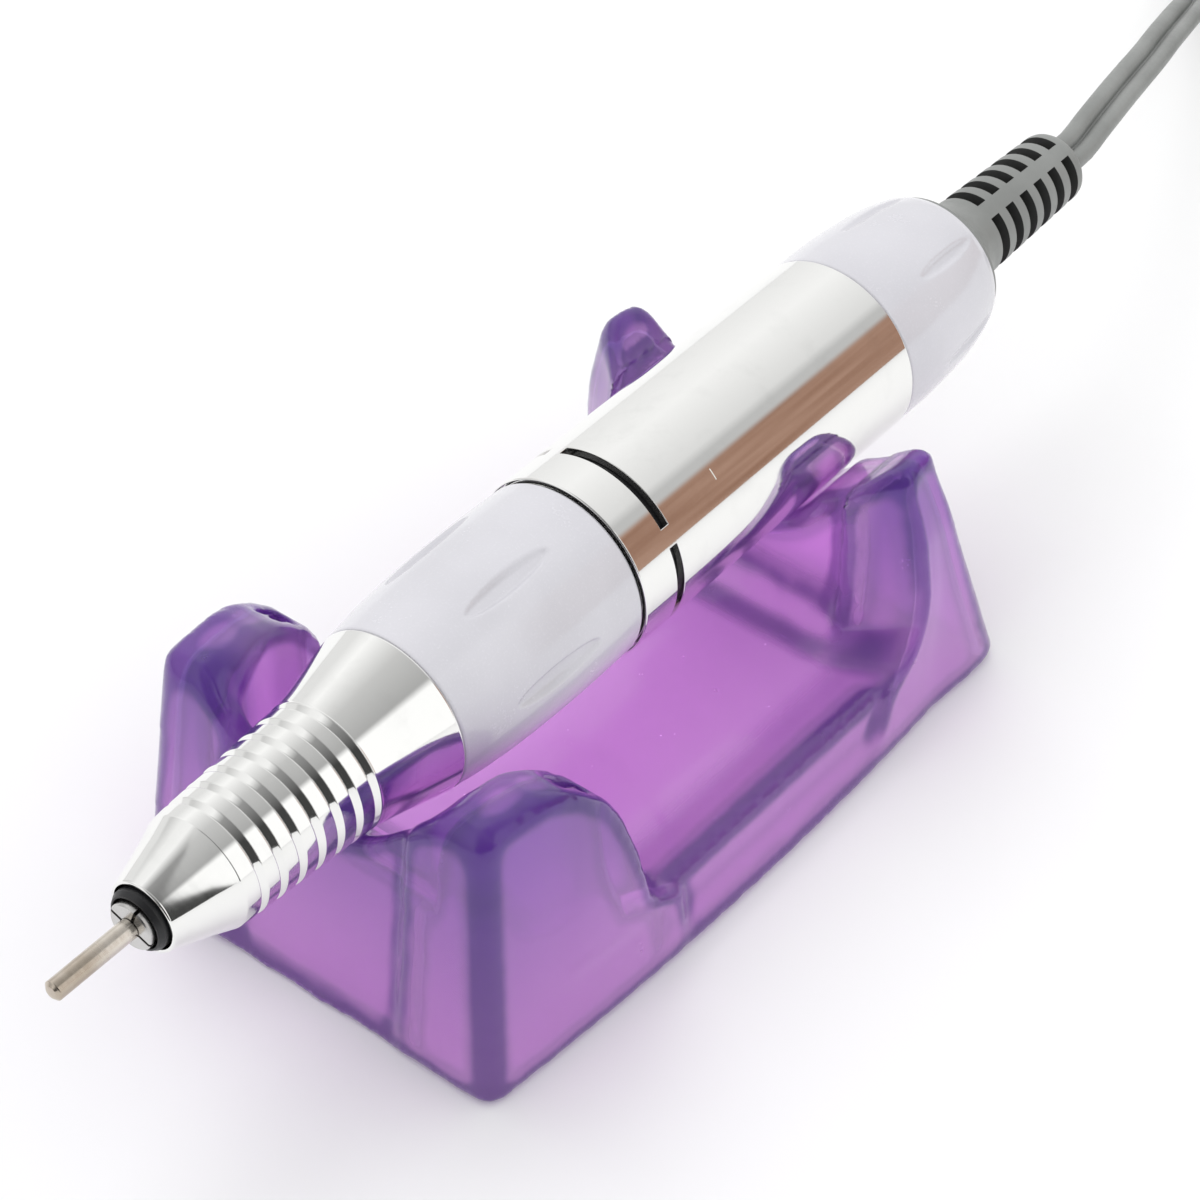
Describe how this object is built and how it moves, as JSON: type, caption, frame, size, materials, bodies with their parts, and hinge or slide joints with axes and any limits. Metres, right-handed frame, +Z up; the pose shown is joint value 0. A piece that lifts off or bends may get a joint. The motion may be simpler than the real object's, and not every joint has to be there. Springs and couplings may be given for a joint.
{
  "type": "electric nail drill handpiece with cradle",
  "caption": "Pen-shaped electric nail drill handpiece with a chrome nose, white twist grip and slotted chrome body, lying in a translucent purple cradle, with its twin lead coiled behind it.",
  "frame": {"origin": "on the surface that the cradle stands on, halfway between the shank's tip and the end of the strain relief, in the handpiece's upright middle plane", "axes": "+Y along the handpiece from the shank to the lead, +Z up, +X to the handpiece's right as seen from behind it"},
  "size_m": [0.0706, 0.3347, 0.0438],
  "materials": {
    "cradle_plastic": "translucent gloss",
    "bright_chrome": "polished",
    "pearl_white": "gloss",
    "grey_rubber": "satin",
    "black_plastic": "satin",
    "plain_steel": "ground",
    "shank_steel": "polished",
    "housing_alloy": "machined",
    "ferrite": "sintered",
    "carbon": "matt",
    "brass": "turned",
    "copper": "enamelled",
    "red_insulation": "satin",
    "jack_metal": "plated"
  },
  "bodies": {
    "cradle": {"stand": "cradle_plastic"},
    "handpiece": {"body_tube": "bright_chrome", "inner_liner": "black_plastic", "rear_cap": "pearl_white", "strain_relief": "grey_rubber", "lead_end": "grey_rubber", "motor_can": "plain_steel", "magnets": "ferrite", "end_bell": "black_plastic", "brush_tubes": "brass", "brushes": "carbon", "brush_springs": "plain_steel", "terminals": "brass", "lead_wires": "red_insulation", "motor_mount": "housing_alloy", "mount_screws": "plain_steel", "motor_front_bearing": "plain_steel", "motor_rear_bearing": "plain_steel", "spindle_housing": "housing_alloy", "front_bearing": "plain_steel", "rear_bearing": "plain_steel", "bearing_spacer": "housing_alloy", "bearing_nut": "plain_steel", "joint_washer": "black_plastic", "lead": "grey_rubber", "lead_coil": "grey_rubber", "coil_tie": "black_plastic", "lead_tail": "grey_rubber", "plug_boot": "black_plastic", "plug_contact": "jack_metal", "plug_insulators": "black_plastic"},
    "twist_section": {"front_grip": "pearl_white", "nose": "bright_chrome", "cam_sleeve": "brass"},
    "release_ring": {"pusher": "brass", "guide_pins": "plain_steel"},
    "rotor": {"spindle": "plain_steel", "spindle_collar": "black_plastic", "motor_shaft": "plain_steel", "armature_core": "plain_steel", "windings": "copper", "commutator": "copper", "motor_coupling": "black_plastic", "chuck_spring": "plain_steel"},
    "chuck": {"collet": "plain_steel", "drawbar": "plain_steel", "spindle_coupling": "black_plastic"},
    "bit": {"shank": "shank_steel"}
  },
  "joints": [
    {"name": "handpiece_lift", "type": "slide", "parent": "cradle", "child": "handpiece", "axis": [0, 0, 1], "range_m": [0, 0.06]},
    {"name": "chuck_twist", "type": "hinge", "parent": "handpiece", "child": "twist_section", "pos_m": [0, 0, 0.0323], "axis": [0, 1, 0], "range_deg": [0, 60]},
    {"name": "release_slide", "type": "slide", "parent": "handpiece", "child": "release_ring", "axis": [0, -1, 0], "range_m": [0, 0.001]},
    {"name": "spindle_spin", "type": "hinge", "parent": "handpiece", "child": "rotor", "pos_m": [0, 0, 0.0323], "axis": [0, 1, 0], "continuous": true},
    {"name": "collet_slide", "type": "slide", "parent": "rotor", "child": "chuck", "axis": [0, -1, 0], "range_m": [0, 0.001]},
    {"name": "shank_pull", "type": "slide", "parent": "chuck", "child": "bit", "axis": [0, -1, 0], "range_m": [0, 0.036]}
  ],
  "couplings": [
    {"joint": "chuck_twist", "follows": "release_slide", "rad_per_m": 1047.2},
    {"joint": "collet_slide", "follows": "release_slide", "ratio": 1}
  ]
}
